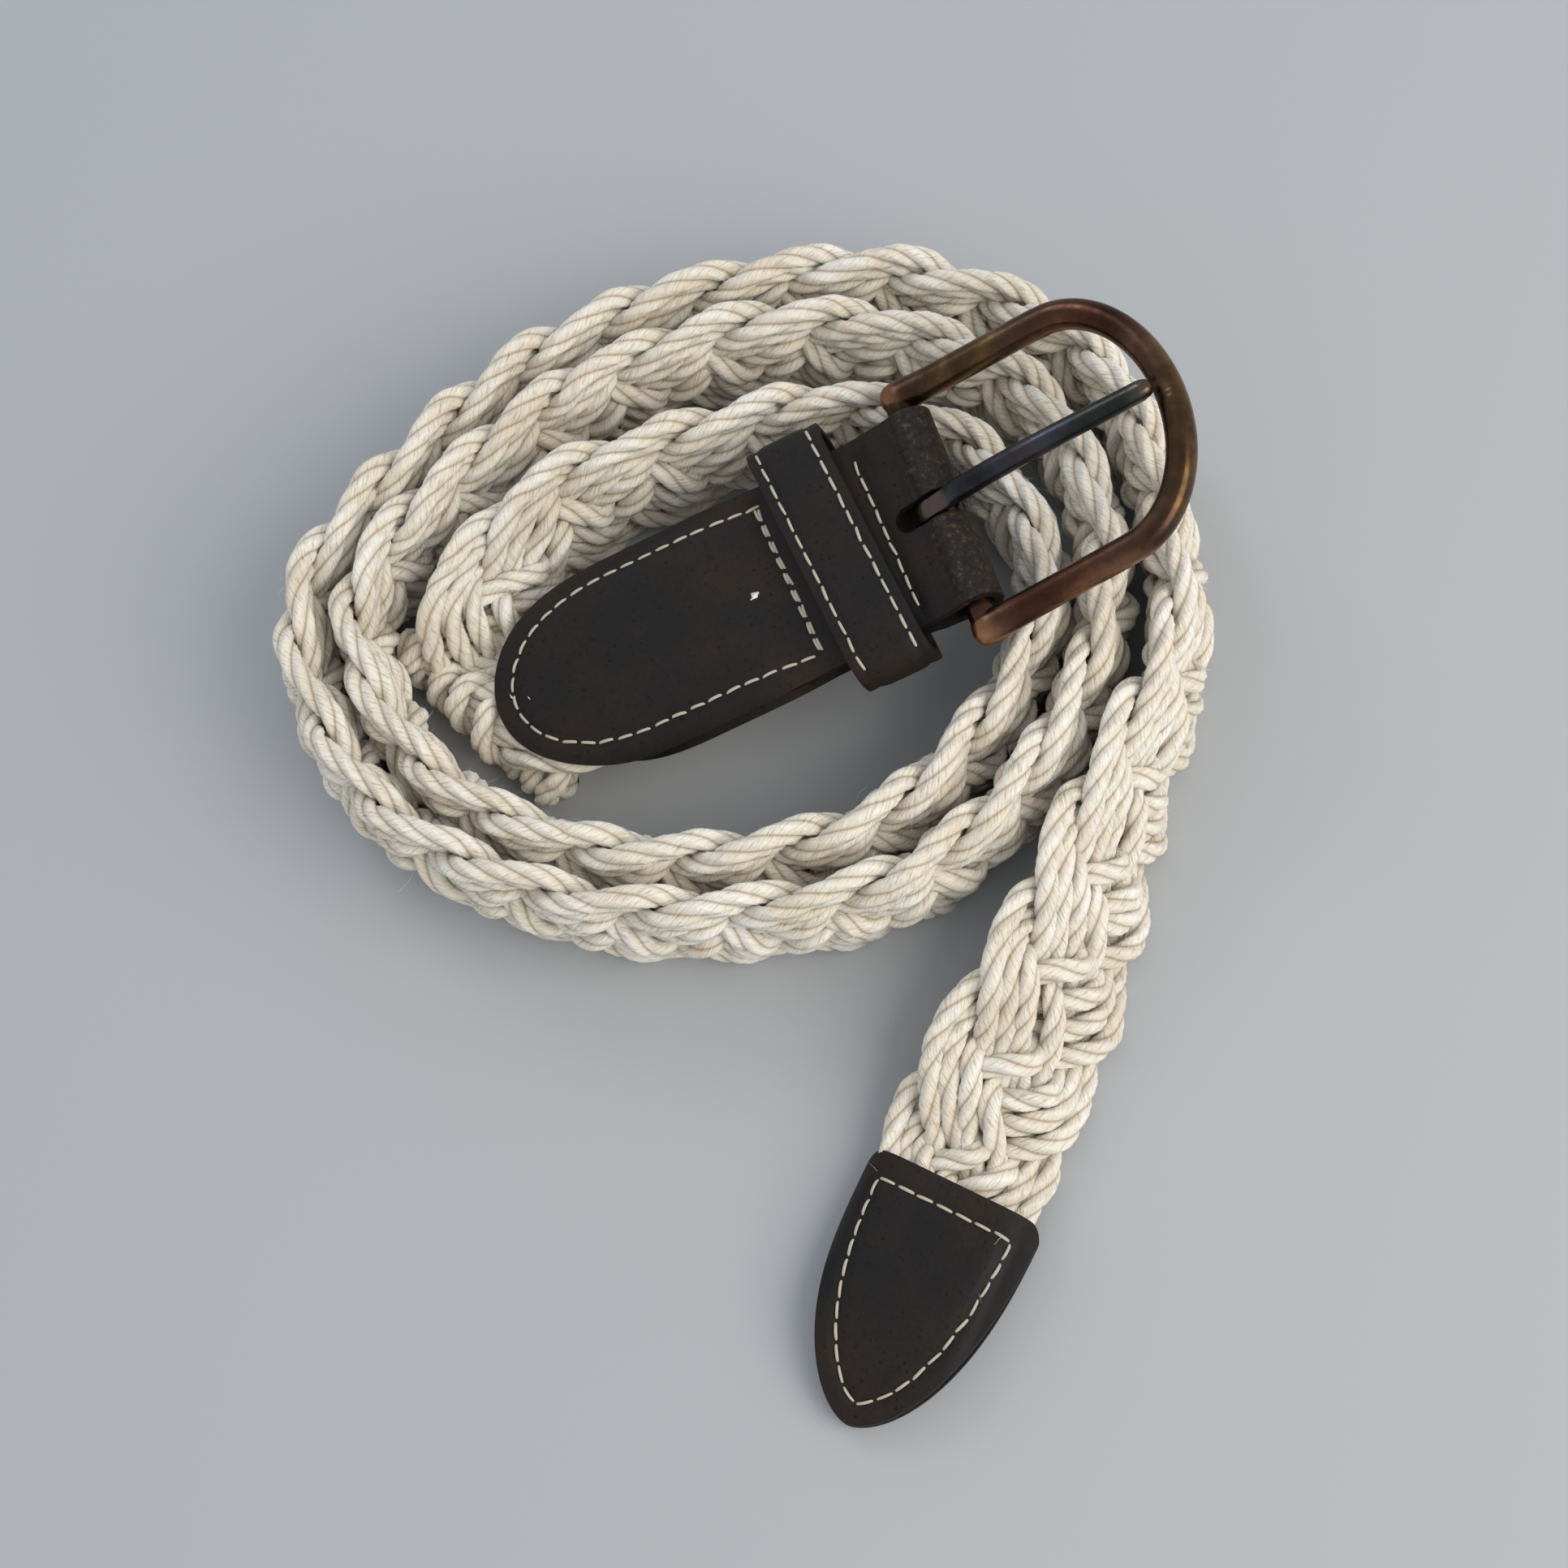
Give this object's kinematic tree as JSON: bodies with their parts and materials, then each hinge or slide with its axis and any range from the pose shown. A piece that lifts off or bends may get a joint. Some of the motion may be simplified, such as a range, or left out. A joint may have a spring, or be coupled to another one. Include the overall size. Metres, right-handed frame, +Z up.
{
  "type": "belt",
  "caption": "Plaited cotton-rope belt, coiled on edge, with a folded leather buckle tab, a leather keeper, a leather tip and a hinged D-shaped metal buckle with its prong.",
  "frame": {"origin": "middle of the coiled belt's outline, on the surface it rests on", "axes": "+Z up from the surface the coil stands on; the buckle opens towards +X and the leather tip lies towards -Y"},
  "size_m": [0.1794, 0.2275, 0.0596],
  "materials": {
    "cotton": "matte",
    "leather": "satin",
    "keeper_leather": "satin",
    "aged_metal": "satin",
    "prong_metal": "satin"
  },
  "bodies": {
    "belt": {"plaited_band": "cotton", "buckle_tab": "leather", "keeper": "keeper_leather", "tip_back": "leather", "tip_front": "leather"},
    "frame": {"buckle_frame": "aged_metal"},
    "tongue": {"prong": "prong_metal"}
  },
  "joints": [
    {"name": "frame_hinge", "type": "hinge", "parent": "belt", "child": "frame", "pos_m": [0.04106, 0.05146, 0.0368], "axis": [0.3206, -0.9472, 0], "range_deg": [-12, 40]},
    {"name": "prong_hinge", "type": "hinge", "parent": "frame", "child": "tongue", "pos_m": [0.04106, 0.05146, 0.0368], "axis": [0.3206, -0.9472, 0], "range_deg": [0, 60]}
  ]
}
